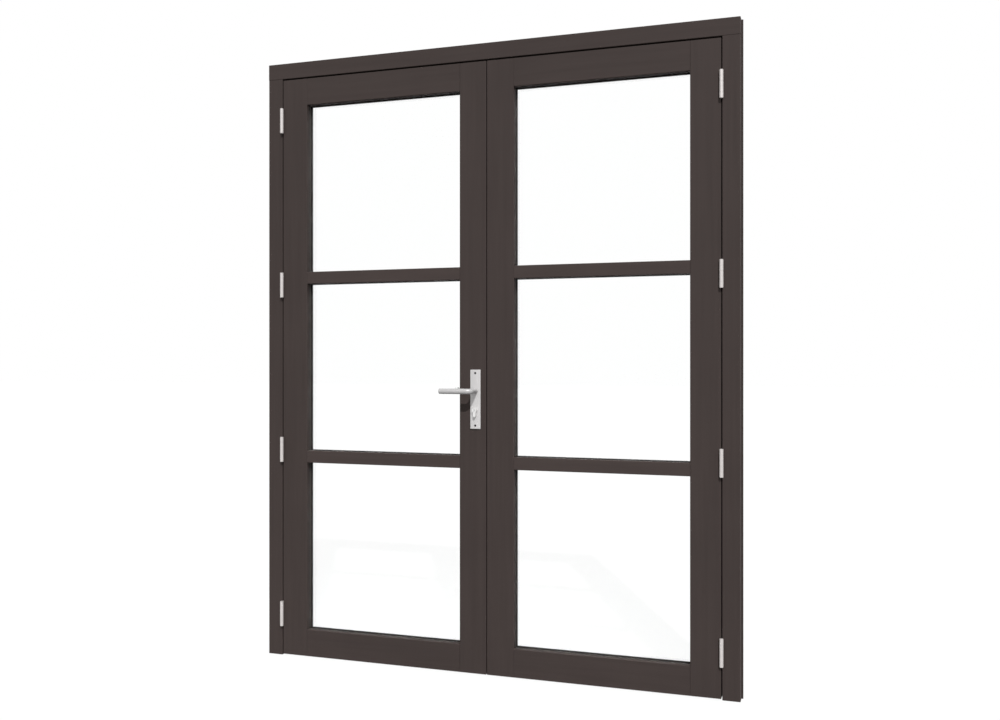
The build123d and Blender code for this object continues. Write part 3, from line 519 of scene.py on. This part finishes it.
def inner_seals(material):
    """A black seal between each inner pane and the beads that hold it."""
    for side in ("left", "right"):
        glass_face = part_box(f"{side}_glazing_beads")[0].y
        levels = [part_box(f"{side}_{name}") for name in ("bottom_rail", "lower_bar", "upper_bar", "top_rail")]
        rings = [seal_ring(side, glass_face, below[1].z, above[0].z)
                 for below, above in zip(levels, levels[1:])]
        seals = join(rings, f"{side}_inner_glazing_seals")
        fit_out(seals, material, f"{side}_leaf")


def seal_ring(side, glass_face, foot, top):
    """A rounded ring round one pane, against the glass and inside the beads."""
    hinge_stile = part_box(f"{side}_hinge_stile")
    meeting_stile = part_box(f"{side}_meeting_stile")
    left_edge = min(hinge_stile[1].x, meeting_stile[1].x)
    right_edge = max(hinge_stile[0].x, meeting_stile[0].x)
    centre = ((left_edge + right_edge) / 2, glass_face, (top + foot) / 2)
    deselect()
    bpy.ops.mesh.primitive_plane_add(size=1, location=centre, rotation=(math.radians(-90), 0, 0))
    ring = bpy.context.object
    ring.scale = (right_edge - left_edge, top - foot, 1)
    take(settle(ring))
    select_faces(ring, lambda face: True)
    bpy.ops.mesh.inset(thickness=INNER_SEAL_W)
    bpy.ops.mesh.delete(type="FACE")
    bpy.ops.mesh.select_all(action="SELECT")
    bpy.ops.mesh.extrude_region_move(TRANSFORM_OT_translate={"value": (0, INNER_SEAL_T, 0)})
    bpy.ops.mesh.select_all(action="SELECT")
    bpy.ops.mesh.normals_make_consistent(inside=False)
    bpy.ops.object.mode_set(mode="OBJECT")
    soften = ring.modifiers.new("soften", "BEVEL")
    soften.width = INNER_SEAL_ROUND
    soften.segments = ROUND_STEPS
    bpy.ops.object.modifier_apply(modifier=soften.name)
    return ring


def seen_rays(tree):
    """1 for rays that the camera, a gloss or a pane sends, and 0 for the rest."""
    light = tree.nodes.new("ShaderNodeLightPath")
    sight = maths(tree, "MAXIMUM", light.outputs["Is Camera Ray"], light.outputs["Is Glossy Ray"])
    return maths(tree, "MAXIMUM", sight, light.outputs["Is Transmission Ray"])


def white_setting():
    """A white sky that lights the doors at a plain level and shows as white."""
    world = bpy.data.worlds.new("white_setting")
    world.use_nodes = True
    tree = world.node_tree
    background = next(node for node in tree.nodes if node.type == "BACKGROUND")
    background.inputs["Color"].default_value = (1, 1, 1, 1)
    strength = spread(tree, seen_rays(tree), (SKY_STRENGTH, SEEN_SKY))
    tree.links.new(strength, background.inputs["Strength"])
    bpy.context.scene.world = world


def pale_floor():
    """A pale floor that shows nearly white and keeps a soft shadow."""
    bpy.ops.mesh.primitive_plane_add(size=FLOOR_SIZE)
    floor = bpy.context.object
    floor.name = "floor"
    material, tree, shader = new_material("pale_floor")
    shader.inputs["Base Color"].default_value = (FLOOR_TONE, FLOOR_TONE, FLOOR_TONE, 1)
    shader.inputs["Roughness"].default_value = FLOOR_ROUGH
    shader.inputs["Specular IOR Level"].default_value = FLOOR_SHINE
    shaded = add_node(tree, "ShaderNodeBsdfDiffuse", Color=(FLOOR_SHADE, FLOOR_SHADE, FLOOR_SHADE, 1))
    glow = add_node(tree, "ShaderNodeEmission", Color=(1, 1, 1, 1), Strength=FLOOR_GLOW)
    seen_floor = tree.nodes.new("ShaderNodeAddShader")
    tree.links.new(shaded.outputs["BSDF"], seen_floor.inputs[0])
    tree.links.new(glow.outputs["Emission"], seen_floor.inputs[1])
    choose_shader(tree, seen_rays(tree), shader, seen_floor)
    floor.data.materials.append(material)


def sunlight():
    """The sun, halfway up in the front right, as the lever's shadow shows."""
    azimuth = math.radians(SUN_AZIMUTH)
    height = math.radians(SUN_HEIGHT)
    level = math.cos(height)
    towards = Vector((math.sin(azimuth) * level, -math.cos(azimuth) * level, math.sin(height)))
    bpy.ops.object.light_add(type="SUN", location=towards * SUN_AWAY)
    sun = bpy.context.object
    sun.name = "sun"
    sun.rotation_euler = towards.to_track_quat("Z", "Y").to_euler()
    sun.data.energy = SUN_STRENGTH
    sun.data.angle = math.radians(SUN_ANGLE)


def camera():
    """The photo's view."""
    bpy.ops.object.camera_add(location=CAMERA_PLACE,
                              rotation=(math.radians(90), 0, math.radians(CAMERA_TURN)))
    view = bpy.context.object
    view.name = "camera"
    view.data.lens = CAMERA_LENS
    view.data.sensor_width = CAMERA_SENSOR
    bpy.context.scene.camera = view


def finish_nodes(material, nodes):
    """Gives CAD nodes a finish."""
    for node in nodes:
        node.data.materials.clear()
        node.data.materials.append(material)


def finish_timber():
    """Paints the timber, with its grain along each member. The glazing bars get a lighter copy of the same
    paint, which is painted light.
    """
    upright = painted_timber("paint_upright_grain", "Z")
    level = painted_timber("paint_level_grain", "X")
    # The bars' paint is a lighter copy of the same paint: painted light
    bars = painted_timber("paint_glazing_bars_painted_light", "X", BAR_PAINTED_LIGHT_LIFT)
    finish_nodes(upright, nodes_ending("_jamb", "_stile", "left_stop", "right_stop"))
    finish_nodes(level, nodes_ending("_rail", "head", "head_stop", "_beads"))
    finish_nodes(bars, nodes_ending("_bar"))


def finish_fittings():
    """Gives the metals, glass and rubber their finishes, and adds the small screws and the inner seals."""
    metals = {name: satin_metal(name, *look) for name, look in METALS.items()}
    for name, endings in METAL_NODES.items():
        finish_nodes(metals[name], nodes_ending(*endings))
    finish_nodes(clear_glass(), nodes_ending("_glass"))
    rubber = black_rubber()
    finish_nodes(rubber, nodes_ending("gasket", "gaskets", "meeting_seal"))
    hinge_screws(metals["hinge_steel"])
    edge_screws(metals["lock_steel"])
    inner_seals(rubber)


bpy.context.scene.view_settings.view_transform = "Standard"
finish_timber()
finish_fittings()
white_setting()
pale_floor()
sunlight()
camera()
